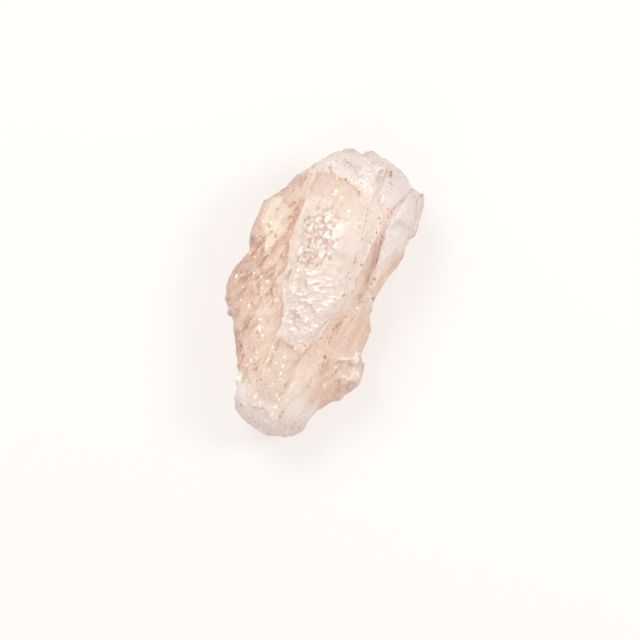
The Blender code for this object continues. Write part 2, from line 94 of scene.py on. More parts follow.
# Yellow flecks that are partly painted glints: their gold, a white painted middle and a faint painted glow
FLECK_AND_GLINT_GOLD = (0.96, 0.86, 0.36, 1)
FLECK_AND_GLINT_MIDDLE = (1.0, 1.0, 0.90, 1)
PAINTED_GLINT_GLOW = (1.0, 0.92, 0.45, 1)
BLACK = (0, 0, 0, 1)

# How far the patterns are moved apart, in grains, and the least rise of the skin, in millimetres
PATTERN_SHIFT = 31.7
LEAST_RISE = 0.002


# Lines on the upper side, as (x, y) in millimetres, x across the crystal and y along it

CRACK_UNDER_TOP = [
    (-3.8, 16.4), (-3.3, 15.7), (-2.6, 15.4), (-1.2, 15.5), (-0.6, 15.2), (0.3, 15.1), (1.0, 14.9),
    (1.4, 14.3),
]
SLAB_LEFT = [
    (-5.5, 15), (-5.3, 12.5), (-5, 10), (-4.9, 5), (-4.2, 3), (-4, 1), (-3.5, -1), (-3, -2.5),
    (-2.2, -3.5), (-1.9, -4.5), (-1.7, -6), (-1.9, -7),
]
LEDGE = [
    (4.1, 16), (5, 13.5), (5.2, 12), (5.4, 11), (5.2, 9), (5.3, 7.5), (5.1, 5), (5.4, 3.2), (5.1, 2),
    (5, 0), (4.9, -0.7), (4.3, -1.9), (4, -3), (3.6, -3.7), (3.4, -4.5), (3.5, -5.2), (3.1, -6.2),
    (2.6, -6.8), (2.3, -7.6), (2.1, -9.3),
]
LEDGE_INNER = [
    (3.4, 15.2), (3.3, 13.5), (3.6, 11), (3.8, 9.5), (4.1, 6.5), (4.3, 3), (4.3, 1.5), (4.6, 0.2),
]
PLATE_EDGE = [(7.9, 18.2), (7.3, 17), (7.1, 16), (6.6, 15), (6.2, 14.1), (6.6, 13.3)]
PLATE_LEFT = [(3.4, 19.3), (3.7, 18.6), (3.6, 17), (3.5, 15.4), (3.4, 14.6)]
VALLEY_SIDE = [
    (6.6, 13.3), (6.1, 11), (6.3, 9.8), (6.6, 8), (6.8, 6.5), (7.1, 5.5), (7.3, 4), (7.7, 3), (8.3, 2.2),
    (8.7, 1.8),
]
TONGUE = [(5.7, -1.6), (5.1, -3), (4.9, -4), (4.9, -5.2), (5.2, -6.4), (5.3, -7.8)]
WING_GROOVE = [(8.1, 14.6), (9.2, 14.5), (10, 14.4)]
WING_LINES = [
    [(7.3, 15.4), (7.3, 13.6), (7.0, 12.2)], [(7.0, 8.4), (7.6, 7.8), (8.1, 8.8)],
    WING_GROOVE, [(9.9, 14), (10.1, 12.8), (9.6, 11.2)],
]
FLANK_LINES = [
    [(7.2, -4.7), (7.3, -7), (7, -9)], [(8.3, -3.2), (8.5, -5.2)], [(5.0, -10), (5.0, -13.4)],
    [(4.1, -9), (4.2, -12)], [(6.4, -9.8), (6.7, -12)], [(6.2, -0.4), (6.3, -3)],
]
BLOCK_EDGES = [
    [(7.3, -7.2), (8.2, -6.9), (9.2, -6.2), (9.1, -5.6), (10, -5.6), (10.6, -6.6)],
    [(9.4, -6.3), (9.8, -8.2), (9.5, -9.4), (8.6, -9.2)], [(10.2, -8.2), (11, -8.9)],
    [(7.2, -8.2), (7.0, -9.3)],
]
LOWER_RIDGES = [
    [(-1.9, -7), (-1.9, -12), (-1.6, -13), (-1.6, -15)], [(2.1, -9.2), (1.9, -11), (1.5, -13)],
    [(2.8, -14.4), (2.4, -16), (2.3, -19.2)], [(-5.2, -10.5), (-5.5, -12.4)],
]
FLANK_CUTS = [
    [(-8.4, 4), (-9.4, 1.6)], [(-7.2, 2), (-7.8, 0.2)], [(-6.5, 10.1), (-6.9, 9.3)],
    [(-5.6, -0.1), (-6.1, -0.8)], [(-4.4, 2), (-4.8, 0.5)], [(-6.3, 5.2), (-6.9, 2.9)],
    [(-8.6, -1.4), (-9.2, -2.4)], [(-6.9, -0.3), (-7.5, -1.6)], [(-5.2, 4.2), (-5.3, 2.6)],
    [(-8.4, -3.2), (-8.9, -4.4)], [(-8.4, 4.6), (-8.7, 3.2)], [(-6.0, 9.4), (-5.6, 7.4)],
    [(-3.6, 1.2), (-3.7, 0.1)], [(-5.9, -6.2), (-6.3, -8.2)], [(-7.2, -9.0), (-6.6, -11.2)],
]
DARK_BAND = [(-5.7, 10.5), (-5.9, 8), (-5.7, 5), (-5.1, 3.2), (-4.6, 1.6)]
LOWER_BAND = [(-2.9, -3.2), (-2.5, -4.6), (-2.1, -6), (-2.5, -6.6)]

# Fields on the upper side, as the corners of their outlines

CRAZED_FIELDS = [
    [(-3.6, 2.6), (-3.4, 5), (-4.2, 8.6), (-3.2, 10.6), (-1.4, 11.6), (0.8, 10.4), (0.9, 6.6), (0.5, 3.2),
     (-1.6, 2.2)],
    [(0, 15.4), (0, 17.4), (0.8, 18.2), (1.6, 19.2), (2.3, 19.9), (3.2, 19.2), (3.5, 18), (3.3, 15.6),
     (1.5, 14.9)],
    [(-4.3, 17.2), (-3.9, 18.3), (-2.6, 19), (-1.3, 18.9), (-1.1, 18), (-2, 17), (-3.3, 16.8)],
]
SLAB_RIPPLES = [
    (-3, 2.4), (-2.4, -0.8), (-2.2, -3), (-1.4, -6.2), (1.4, -7), (3.2, -4), (4.4, 0.4), (4.2, 2),
    (0.6, 2.6),
]
FOOT_RIPPLES = [(-2.8, -17.6), (-2.4, -19.4), (0.6, -20.2), (2, -19.2), (2, -17.6), (0.2, -17.2)]
PALE_FLAKE = [
    (-9.0, 10.5), (-7.6, 10.1), (-7.0, 9.2), (-6.7, 8), (-6.5, 5.5), (-7.1, 3.6), (-7.8, 2.8),
    (-8.4, 4.2), (-8.8, 5), (-10, 6), (-10.2, 8.4),
]
CREAM_PATCH = [
    (-1.9, 9.5), (-0.6, 10.1), (0.9, 10.4), (1.15, 9), (0.95, 7.5), (0.2, 7.4), (-0.3, 8.2), (-1.2, 8.7),
]
TOP_PLATE = [
    (3.7, 19.4), (4.6, 20.2), (6.2, 19.4), (7.7, 18.3), (7.1, 16.4), (6.6, 15), (5.2, 14.4), (3.7, 15),
]
WING = [
    (7.7, 18.2), (9.2, 18.2), (10.4, 15), (10.7, 12.8), (9.9, 10), (8.8, 9), (8, 5), (7.4, 4.4), (6.8, 8),
    (6.3, 12), (6.9, 15.4),
]
VALLEY = [
    (5.4, 11.6), (6.0, 11), (6.3, 9.8), (6.7, 7), (7.3, 4), (8.6, 1.8), (7.2, 0.2), (5.2, -1.2), (5.1, 2),
    (5.3, 5), (5.3, 8),
]
UNDER_TIP = [
    (5, -0.7), (5.7, -1.6), (5.1, -3), (4.9, -5.2), (5.1, -7.6), (4.4, -9.6), (2.2, -9.6), (2.4, -7.6),
    (3.4, -4.8), (4.3, -1.9),
]
RIGHT_FLANK = [
    (5.2, -1), (7.2, 0.4), (8.6, 1.8), (9.4, 0), (10, -3), (10, -5.4), (9.1, -5.7), (7.4, -7.2), (7, -9),
    (9.4, -11.4), (7.2, -14.6), (4, -13.6), (2.2, -9.6), (4.6, -9.5), (4.9, -5.2), (5.1, -3),
]
LEFT_FLANK = [
    (-5.6, 14.5), (-5.1, 9), (-4.9, 5), (-4.2, 3), (-4.3, 0.6), (-4.9, -0.8), (-3, -2.6), (-1.9, -4.5),
    (-1.9, -14), (-6, -14), (-12, -6), (-12, 8), (-8.6, 13),
]
LOWER_MIDDLE = [(-1.9, -7.4), (2, -8), (1.8, -13), (1.6, -16), (-1.6, -16.4)]
WING_LOW = [(8.4, 9.8), (10.2, 10), (9.8, 6), (9.2, 3.2), (8.8, 1.8), (7.9, 3), (7.9, 5)]
WARM_FACET = [
    (-5.2, 15), (-3.2, 15.5), (-0.6, 15.2), (1.2, 14.7), (3, 13.5), (2.6, 11), (0.6, 11.2), (-2.6, 12.2),
    (-4.9, 11.6),
]
WARM_SPOT = [(-4.8, 12.9), (-3.2, 13.7), (-2.4, 13.4), (-2.8, 12.4), (-4.2, 12.2)]
BLOCK = [
    (7.4, -7.3), (9.2, -6.3), (9.2, -5.7), (10, -5.6), (10.9, -6.8), (11.4, -8.8), (10.8, -9.9),
    (9.2, -11.4), (7.2, -10),
]
BLOCK_HOLLOWS = [
    [(7.3, -7.4), (8.3, -7.0), (8.2, -8.6), (7.3, -9.2)],
    [(9, -6.8), (9.5, -6.5), (9.7, -8.2), (9.2, -8.8)],
    [(8.9, -10.2), (9.7, -9.8), (8.7, -11.6), (7.8, -12.4)],
]
FOOT_OVAL = [
    (2.6, -15), (4, -13.7), (5, -13.2), (5.8, -13.9), (6.9, -15.4), (6.6, -17.8), (4.8, -19.4),
    (2.5, -19.6),
]
FOOT = [
    (-4.6, -14.6), (-2, -16.4), (2, -17), (6.8, -14.4), (7, -17.6), (3.6, -20.8), (0, -20.8),
    (-3.6, -19.2),
]
SLAB = [
    (-4.8, 12), (-4.6, 5), (-3.8, 1), (-2.6, -2.5), (-1.6, -6.6), (1.9, -7.2), (3.4, -4.5), (4.9, -0.7),
    (5.3, 4), (5.2, 12), (3.6, 15), (-0.4, 11.6),
]
CAP = [
    (-5.2, 15.4), (-3.2, 15.7), (1.0, 15.0), (3.4, 14.8), (3.6, 18.6), (2.6, 20.6), (-2, 20.4),
    (-4.4, 18.4),
]
FOOT_LEFT = [(-5.2, -13.6), (-3.6, -14.6), (-2.4, -15.4), (-2.2, -17.9), (-4.3, -17.7)]

# How grey, how shaded and how deep in colour the stone is: each field's outline, softness and amount

GREY_FIELDS = [
    (TOP_PLATE, 0.2, 1.0), (WING, 0.4, 1.0), (CAP, 0.6, 0.75), (FOOT_OVAL, 0.9, 0.5), (FOOT, 0.6, 0.66),
    (SLAB, 0.6, 0.3),
]
SHADED_FIELDS = [(SLAB, 0.8, 0.82), (WARM_FACET, 0.6, 1.0), (LOWER_MIDDLE, 0.6, 0.9), (CAP, 0.6, 0.1)]

DEEP_FIELDS = [
    (LEFT_FLANK, 0.2, 0.52), (VALLEY, 0.2, 0.16), (UNDER_TIP, 0.2, 0.62), (RIGHT_FLANK, 0.2, 0.50),
    (LOWER_MIDDLE, 0.2, 0.74), (WING_LOW, 0.2, 0.40), (WARM_FACET, 0.2, 0.95), (WARM_SPOT, 0.2, 0.95),
]

# Small marks, at (x, y) in millimetres with their radius

SPECKS = [
    (4.15, 18.95, 0.2), (4.3, 18.5, 0.2), (4.6, 17.6, 0.12), (4.9, 17.4, 0.12), (9.2, 17.7, 0.18),
    (8.3, 17.2, 0.1), (-1.85, 17.9, 0.14), (-2.05, 17.35, 0.12), (-3.85, 15.25, 0.16),
    (-5.2, 14.95, 0.12), (-5.1, 14.4, 0.1), (-6.5, 13.9, 0.12), (-5, 12.7, 0.12), (-7.7, 9.7, 0.12),
    (-8.4, 8.5, 0.12), (-4.2, 8.4, 0.14), (-3.5, 7.2, 0.12), (2.45, 12.9, 0.12), (3.15, 12.9, 0.14),
    (2.55, 11.1, 0.12), (3, 10.3, 0.16), (3.1, 9.4, 0.12), (0.8, 10.4, 0.1), (5.65, 14, 0.12),
    (6.3, 13.8, 0.14), (5.2, 12.4, 0.1), (6.2, 10.5, 0.12), (6.7, 10.2, 0.12), (4.9, 9, 0.12),
    (3.3, 5.8, 0.1), (4.1, 5.5, 0.16), (5.7, 4.9, 0.1), (6.8, 4, 0.12), (7.5, 4.6, 0.16), (5.9, 2.7, 0.1),
    (0.7, 1.1, 0.12), (3, 1.4, 0.1), (7.2, 1.1, 0.14), (-1.4, 3.75, 0.14), (-5, -2, 0.18),
    (-2.3, -4.7, 0.12), (-3.5, -9, 0.12), (-6.9, -9.3, 0.12), (5.3, -7.8, 0.22), (6.5, -10.2, 0.12),
    (4.6, -12.3, 0.14), (8.8, -11.4, 0.12), (10.8, -8.8, 0.12), (1.65, -13.2, 0.14), (1.65, -14.4, 0.12),
    (-1.7, -13.8, 0.14), (-2.2, -14.2, 0.12), (2.7, -16.9, 0.16), (2.6, -17.5, 0.16), (4.4, -17.4, 0.12),
    (5.6, -18.1, 0.16), (4.7, -18.4, 0.14), (-2.9, -18.2, 0.16), (6.7, -4.1, 0.11), (8.0, -4.9, 0.11),
    (6.7, -5.6, 0.1), (8.3, -2.8, 0.1), (4.9, -9.1, 0.11), (5.4, -8.9, 0.13), (6.1, -12.1, 0.12),
    (4.6, -9.9, 0.1), (3.7, -5.6, 0.13), (5.0, -5.0, 0.12), (5.8, 0.9, 0.11), (6.8, -1.6, 0.1),
    (6.8, 1.7, 0.12), (-6.0, 15.6, 0.14), (-0.7, 11.9, 0.12), (-1.6, 11.9, 0.12), (-1.9, 10.0, 0.12),
    (-6.8, 4.4, 0.12),
]
# Yellow flecks, partly specks in the stone and partly painted glints
FLECKS_AND_GLINTS = [
    (-1.75, 13.4, 0.28), (-0.8, 12.9, 0.2), (0.8, 11.7, 0.26), (-2.4, 15.4, 0.16), (-0.9, 10.4, 0.18),
    (0.05, 8.8, 0.16), (-7.5, 7.6, 0.2), (-9.6, 6.3, 0.18), (-8.5, 6.4, 0.16), (-9.2, 5.4, 0.16),
    (-7.6, 5.9, 0.18), (-9.6, 4.1, 0.16), (-7.8, 3.3, 0.16), (-9.8, 1.7, 0.2), (-10.4, -1.9, 0.24),
    (-9.6, -1.6, 0.16), (-8.2, -0.7, 0.16), (-8.9, 1.4, 0.16), (-5.9, -1.1, 0.2), (-6.2, -2.2, 0.16),
    (-2.5, 1.9, 0.16), (-2.5, 0.9, 0.2), (-2.4, 0, 0.16), (-2.6, -0.7, 0.16), (-3.2, -1.4, 0.2),
    (-3.8, -3.1, 0.26), (-4.4, -2.5, 0.16), (-8.9, -3.1, 0.16), (-8.3, -4.8, 0.14), (-7, -5, 0.16),
    (-4.8, -6.2, 0.2), (-4.5, -7.4, 0.36), (-3.7, -8.2, 0.2), (-0.9, -6.7, 0.18), (1.1, -8.2, 0.16),
    (0.1, -9.7, 0.18), (-3.6, -10.6, 0.2), (-3.5, -11.3, 0.18), (-4, -12, 0.18), (-4.4, -12.9, 0.16),
    (-0.6, -11, 0.16), (0.5, -12, 0.2), (0.8, -12.8, 0.16), (0, -13.8, 0.16), (1.1, -14.9, 0.2),
    (-1.5, -16.2, 0.24), (1.5, -16.5, 0.22), (-0.6, -16.7, 0.16), (1.5, -17.6, 0.18), (-4.6, -14.8, 0.4),
    (-1.7, -9.1, 0.14), (-1.4, -9.7, 0.14), (-1.8, -10.9, 0.14), (0.4, -11.0, 0.16), (-1.2, -12.1, 0.14),
    (-0.3, -14.3, 0.14), (1.6, -15.4, 0.16), (6.7, -11.3, 0.14), (7.1, -8.5, 0.14), (2.8, -15.0, 0.16),
    (6.9, 0.1, 0.14),
]
STAINS = [
    (-2.3, 15.45, 0.24), (-1.1, 15.45, 0.2), (0.2, 15.1, 0.24), (-3.5, 15.9, 0.2), (-8.4, 6.2, 0.2),
    (-8.0, 5.4, 0.18), (-7.6, 7.5, 0.2), (-8.9, 7.2, 0.18), (-8.2, 8.6, 0.18), (5.2, -7.5, 0.3),
    (0.4, -7.9, 0.2), (-0.9, -7.6, 0.2), (-1.5, 12.6, 0.18), (-0.3, 11.9, 0.18),
]


class CrystalSettings(bpy.types.PropertyGroup):
    """Sizes and colours of the crystal"""

    seed: IntProperty(
        name="Seed", description="Which random bends the cells and the small chips get", default=7, min=1,
    )
    fineness: FloatProperty(
        name="Fineness", description="Length of an edge of the skin's mesh", default=0.191 * MM,
        min=0.1 * MM, precision=5, unit="LENGTH",
    )
    shingle_depth: FloatProperty(
        name="Shingle depth", description="Height of the shingles on the left flank", default=0.46 * MM,
        precision=5, unit="LENGTH",
    )
    column_depth: FloatProperty(
        name="Column depth", description="Height of the columns along the hidden sides", default=0.50 * MM,
        precision=5, unit="LENGTH",
    )
    cell_depth: FloatProperty(
        name="Cell depth", description="Depth of the cracks between the small broken cells",
        default=0.27 * MM, precision=5, unit="LENGTH",
    )
    ripple_depth: FloatProperty(
        name="Ripple depth", description="Height of the ripples on the slab", default=0.19 * MM,
        precision=5, unit="LENGTH",
    )
    groove_depth: FloatProperty(
        name="Groove depth", description="Depth of the cracks and of the lines under the ledges",
        default=0.26 * MM, precision=5, unit="LENGTH",
    )
    peach: FloatVectorProperty(
        name="Peach", description="Colour of the clear stone", default=(0.96, 0.82, 0.73), size=3,
        min=0, max=1, subtype="COLOR",
    )
    deep_peach: FloatVectorProperty(
        name="Deep peach", description="Colour where the stone is fractured and warm",
        default=(0.94, 0.64, 0.49), size=3, min=0, max=1, subtype="COLOR",
    )
    brown: FloatVectorProperty(
        name="Brown", description="Colour in the grooves and cracks", default=(0.58, 0.27, 0.14), size=3,
        min=0, max=1, subtype="COLOR",
    )
    milky: FloatVectorProperty(
        name="Milky", description="Colour of the crinkled and the chipped fields",
        default=(0.99, 0.94, 0.90), size=3, min=0, max=1, subtype="COLOR",
    )
    cream: FloatVectorProperty(
        name="Cream", description="Colour of the opaque flakes", default=(0.97, 0.84, 0.68), size=3,
        min=0, max=1, subtype="COLOR",
    )
    rust: FloatVectorProperty(
        name="Rust", description="Colour of the small specks", default=(0.38, 0.17, 0.09), size=3,
        min=0, max=1, subtype="COLOR",
    )
    ochre: FloatVectorProperty(
        name="Ochre", description="Colour of the stains", default=(0.92, 0.60, 0.24), size=3,
        min=0, max=1, subtype="COLOR",
    )
    haze: FloatProperty(
        name="Haze", description="Share of the clear stone's skin that is cloudy", default=0.36,
        min=0, max=1, subtype="FACTOR",
    )
    depth_of_colour: FloatProperty(
        name="Depth of colour", description="How strongly the stone colours the light inside it, per metre",
        default=26, min=0,
    )


class StageSettings(bpy.types.PropertyGroup):
    """Values of the camera, the lights and the floor"""

    lens: FloatProperty(
        name="Lens", description="Focal length of the camera, in millimetres", default=150, min=20,
        unit="CAMERA",
    )
    key_power: FloatProperty(
        name="Key light", description="Power of the soft light over the crystal's left", default=0.66,
        min=0, unit="POWER",
    )
    side_power: FloatProperty(
        name="Side light", description="Power of the light on the right, which the foot light follows",
        default=0.56, min=0, unit="POWER",
    )
    room_light: FloatProperty(
        name="Room light", description="Strength of the even light from all round", default=0.62, min=0,
    )
    floor_width: FloatProperty(
        name="Floor width", description="Width of the floor", default=2.0, min=0.2, unit="LENGTH",
    )


def select_only(obj):
    bpy.ops.object.select_all(action="DESELECT")
    obj.select_set(True)
    bpy.context.view_layer.objects.active = obj


def duplicate_node(name):
    """A merged copy of the solid, free to be shaped."""
    solid = frame["nodes"][NODE]
    select_only(solid)
    bpy.ops.object.duplicate()
    piece = bpy.context.object
    piece.name = name
    piece.data.name = name
    bpy.ops.object.parent_clear(type="CLEAR_KEEP_TRANSFORM")
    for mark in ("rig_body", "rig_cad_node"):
        if mark in piece:
            del piece[mark]
    select_only(piece)
    bpy.ops.object.mode_set(mode="EDIT")
    bpy.ops.mesh.select_all(action="SELECT")
    bpy.ops.mesh.remove_doubles(threshold=0.001 * MM)
    bpy.ops.mesh.normals_make_consistent(inside=False)
    bpy.ops.object.mode_set(mode="OBJECT")
    return piece


def apply_modifier(piece, kind, **settings):
    """Adds a modifier to the selected piece and applies it."""
    bpy.ops.object.modifier_add(type=kind)
    modifier = piece.modifiers[-1]
    for name, value in settings.items():
        setattr(modifier, name, value)
    bpy.ops.object.modifier_apply(modifier=modifier.name)


def rise(value, low, high):
    """0 below low, 1 above high and a smooth rise between them."""
    t = np.clip((value - low) / (high - low), 0, 1)
    return t * t * (3 - 2 * t)


def stairs(value, count):
    """A value from -1 to 1 in flat steps with short rises between them, from 0 to 1."""
    climb = np.clip(value * 0.5 + 0.5, 0, 0.999) * count
    level = np.floor(climb)
    return (level + rise(climb - level, 0.75, 1.0)) / count


# Patterns of the stone: each gives a value for a place that is measured in grains


def clouds(place):
    """Soft lumps, from about -1 to 1."""
    return noise.fractal(place, 1.0, 2.0, 3)


def creases(place):
    """Thin wandering lines: 1 on a line and 0 between them."""
    return max(1 - 5 * abs(noise.fractal(place, 1.0, 2.0, 2)), 0)


def cells(place):
    """Uneven cells: 0 on the cracks between them and up to 1 inside."""
    bent = place + 0.4 * noise.noise_vector(place * 1.6)
    near, far = noise.voronoi(bent)[0][:2]
    return min(far - near, 1)


def flats(place):
    """Flat patches that each tilt their own way, from about -1 to 1."""
    middle = noise.voronoi(place)[1][0]
    tilt = noise.cell_vector(middle * 40) - Vector((0.5, 0.5, 0.5))
    return 3 * tilt.dot(place - middle)


def dabs(place):
    """Scattered small dabs: 1 in the middle of a dab and 0 between them."""
    bent = place + 0.3 * noise.noise_vector(place * 2.3)
    nearest = noise.voronoi(bent)
    here = noise.cell(nearest[1][0] * 40) > 0.45
    return max(1 - nearest[0][0] / 0.42, 0) * here


class Skin:
    """The places and the facing of the piece's vertices, in millimetres."""

    def __init__(self, piece):
        mesh = piece.data
        count = len(mesh.vertices)
        places = np.empty(count * 3)
        mesh.vertices.foreach_get("co", places)
        facing = np.empty(count * 3)
        mesh.vertices.foreach_get("normal", facing)
        self.count = count
        self.x, self.y, self.z = places.reshape(-1, 3).T / MM
        self.up = facing.reshape(-1, 3)[:, 2]
        self.top = rise(self.up, 0.0, 0.35)

    def pattern(self, rule, size, turn=0.0, seed=0, where=None):
        """A pattern in grains of the given lengths, turned about the upright, where a mask isn't 0."""
        taken = np.arange(self.count) if where is None else np.flatnonzero(where > 0.01)
        x, y, z = self.x[taken], self.y[taken], self.z[taken]
        angle = math.radians(turn)
        across = x * math.cos(angle) + y * math.sin(angle)
        along = y * math.cos(angle) - x * math.sin(angle)
        grains = np.stack((across / size[0] + PATTERN_SHIFT * seed, along / size[1], z / size[2]), 1)
        values = np.zeros(self.count)
        values[taken] = [rule(Vector(grain)) for grain in grains]
        return values

    def from_line(self, line):
        """Distance of each vertex from a line, seen from above."""
        nearest = np.full(self.count, 1e9)
        for (ax, ay), (bx, by) in zip(line, line[1:]):
            run = np.array((bx - ax, by - ay))
            along = ((self.x - ax) * run[0] + (self.y - ay) * run[1]) / (run @ run)
            along = np.clip(along, 0, 1)
            away = np.hypot(self.x - ax - along * run[0], self.y - ay - along * run[1])
            nearest = np.minimum(nearest, away)
        return nearest

    def strokes(self, lines, width):
        """1 on the lines and 0 beyond their width, on the upper side."""
        nearest = np.min([self.from_line(line) for line in lines], axis=0)
        return rise(-nearest, -width, 0.0) * self.top

    def field(self, corners, soft):
        """1 inside an outline and 0 outside it, on the upper side, with an edge that fades."""
        inside = np.zeros(self.count, bool)
        for (ax, ay), (bx, by) in zip(corners, corners[1:] + corners[:1]):
            crosses = (ay > self.y) != (by > self.y)
            at = ax + (self.y - ay) * (bx - ax) / (by - ay if by != ay else 1e-9)
            inside ^= crosses & (self.x < at)
        away = self.from_line(corners + corners[:1])
        return rise(np.where(inside, away, -away), -soft, soft) * self.top

    def fields(self, outlines, soft):
        """1 inside any of the outlines."""
        return np.max([self.field(corners, soft) for corners in outlines], axis=0)

    def hills(self, marks, reach):
        """A cone over each mark: 1 at its middle and 0 at a number of its radii, on the upper side."""
        height = np.zeros(self.count)
        for x, y, radius in marks:
            away = np.hypot(self.x - x, 0.8 * (self.y - y))
            height = np.maximum(height, 1 - away / (reach * radius))
        return height * (self.up > 0.1)


def stone_marks(skin):
    """The patterns that both the relief and the colours of the stone follow."""
    top = skin.top
    hidden = (1 - top) * rise(skin.z, 0.15, 0.8)
    smooth = skin.fields([TOP_PLATE, FOOT_OVAL], 0.3)
    crumbs = skin.pattern(clouds, (0.8, 1.3, 0.8), turn=-14, seed=16)
    rippled = np.maximum(skin.field(SLAB_RIPPLES, 0.9), 0.6 * skin.field(FOOT_RIPPLES, 0.6))
    rippled = rise(rippled + 0.5 * crumbs, 0.15, 0.75) * rise(rippled, 0, 0.2)
    crazed = skin.fields(CRAZED_FIELDS, 1.0)
    crazed = rise(crazed + 0.7 * crumbs, 0.25, 0.75) * rise(crazed, 0, 0.2) * (1 - rippled)
    edge = np.interp(skin.y, [-20, -8, 0, 16, 20], [-2.2, -2.2, -4.4, -5.6, -3.0])
    flake = skin.field(PALE_FLAKE, 0.5) * rise(crumbs, -0.75, -0.1)
    left = rise(edge - skin.x, 0.0, 0.8) * top * rise(skin.y, -17, -14.5) * (1 - flake)
    right_edge = np.interp(skin.y, [-16, -8, 0, 12, 16], [2.4, 2.2, 5.0, 5.4, 4.4])
    right = rise(skin.x - right_edge, 0.0, 0.6) * top * rise(skin.y, -13.5, -11) * (1 - smooth)
    block = skin.field(BLOCK, 0.3)
    cell = skin.pattern(cells, (0.92, 1.5, 1.0), turn=-12, where=crazed)
    rubble = skin.pattern(clouds, (0.45, 0.6, 0.5), seed=3, where=crazed + rippled)
    crest = skin.pattern(clouds, (1.15, 0.40, 0.8), turn=20, seed=1, where=rippled)
    streak = skin.pattern(creases, (1.5, 5.0, 1.8), turn=-20, seed=2, where=left + hidden)
    thread = skin.pattern(creases, (0.9, 3.0, 1.2), turn=-20, seed=7, where=left + hidden)
    line = skin.pattern(creases, (0.6, 6.0, 1.2), turn=3, seed=4, where=right)
    chip = skin.pattern(dabs, (0.55, 0.85, 0.6), turn=-14, seed=6)
    broken = rise(skin.pattern(clouds, (0.7, 1.6, 1.0), seed=15), -0.5, 0.3)
    return {
        "hidden": hidden,
        "smooth": smooth,
        "flake": flake,
        "left": left,
        "right": right * (1 - block),
        "block": block,
        "crazed": crazed,
        "rippled": rippled,
        "chip": chip * (1 - 0.85 * smooth),
        "crack": crazed * rise(-cell, -0.17, -0.04),
        "cell": crazed * rise(cell, 0.12, 0.40) * rise(rubble, -0.45, 0.1),
        "crest": rippled * rise(crest, 0.16, 0.46),
        "trough": rippled * rise(-crest, 0.05, 0.3),
        "streak": (left + 0.5 * hidden) * rise(streak, 0.55, 0.95),
        "thread": (left + 0.4 * hidden) * thread,
        "line": right * (1 - block) * rise(line, 0.6, 0.98),
        "groove": np.maximum(
            skin.strokes([CRACK_UNDER_TOP, PLATE_EDGE], 0.28),
            0.5 * skin.strokes([VALLEY_SIDE, LEDGE_INNER, PLATE_LEFT, TONGUE, WING_GROOVE], 0.25),
        ),
        "cut": skin.strokes(FLANK_CUTS, 0.36),
        "band": np.maximum(skin.strokes([DARK_BAND], 0.8), skin.strokes([LOWER_BAND], 0.6)),
        "rim": broken * np.max([
            0.8 * skin.strokes([LEDGE, *WING_LINES], 0.28),
            skin.strokes(BLOCK_EDGES, 0.36),
            0.6 * skin.strokes([SLAB_LEFT, *LOWER_RIDGES, *FLANK_LINES], 0.32),
        ], axis=0),
    }


def relief(skin, marks, settings):
    """How far the skin is raised, in millimetres."""
    left, right, hidden = marks["left"], marks["right"], marks["hidden"]
    rough = 1 - 0.8 * marks["smooth"]
    cap = 1 - 0.6 * rise(skin.y, 14, 16)
    lumps = skin.pattern(clouds, (2.2, 4.0, 2.2), turn=-8, seed=8)
    grains = skin.pattern(clouds, (0.5, 0.9, 0.5), seed=9)
    faces = skin.pattern(flats, (2.4, 6.0, 2.4), turn=-6, seed=10)
    shingles = skin.pattern(clouds, (1.5, 5.2, 1.8), turn=-20, seed=11, where=left)
    columns = skin.pattern(clouds, (1.3, 20.0, 1.3), turn=-3, seed=12, where=hidden)
    steps = skin.pattern(clouds, (0.9, 9.0, 1.6), turn=3, seed=13, where=right)
    facets = skin.pattern(flats, (1.5, 1.8, 1.5), turn=25, seed=14, where=marks["block"])
    height = (0.10 + 0.06 * skin.top) * lumps * rough
    height += 0.04 * grains * rough * (1 - 0.5 * left)
    height += 0.28 * faces * (1 - 0.75 * skin.top) * rough
    height += left * (stairs(shingles, 6) - 0.5) * settings.shingle_depth / MM
    height += hidden * (stairs(columns, 6) - 0.5) * settings.column_depth / MM
    height += 0.20 * right * (stairs(steps, 5) - 0.5) - 0.10 * marks["line"]
    height += (marks["cell"] * 0.5 - marks["crack"]) * cap * settings.cell_depth / MM
    height += (marks["crest"] - 0.3 * marks["trough"]) * settings.ripple_depth / MM
    height -= 0.14 * marks["streak"] + 0.06 * marks["thread"] - 0.08 * marks["chip"]
    height -= (marks["groove"] + marks["cut"] + 0.8 * marks["band"]) * settings.groove_depth / MM
    height += 0.14 * marks["rim"]
    height += 0.26 * marks["block"] * facets
    height -= 0.16 * skin.fields(BLOCK_HOLLOWS, 0.2)
    calm = 1 - 0.75 * np.exp(-((skin.up / 0.28) ** 2))
    return height * calm * rise(skin.z, 0.15, 0.8)


def raise_skin(piece, height):
    """Raises and presses the skin by heights in millimetres."""
    for name, part, way in (("raised", height, 1), ("pressed", -height, -1)):
        most = part.max()
        group = piece.vertex_groups.new(name=name)
        for index in np.flatnonzero(part > LEAST_RISE):
            group.add([int(index)], float(part[index] / most), "REPLACE")
        apply_modifier(piece, "DISPLACE", strength=way * most * MM, mid_level=0.0, vertex_group=name)
    bpy.ops.object.vertex_group_remove(all=True)


def strongest(skin, fields):
    """The greatest amount of the fields, which each have an outline, a softness and an amount."""
    return np.max([amount * skin.field(corners, soft) for corners, soft, amount in fields], axis=0)


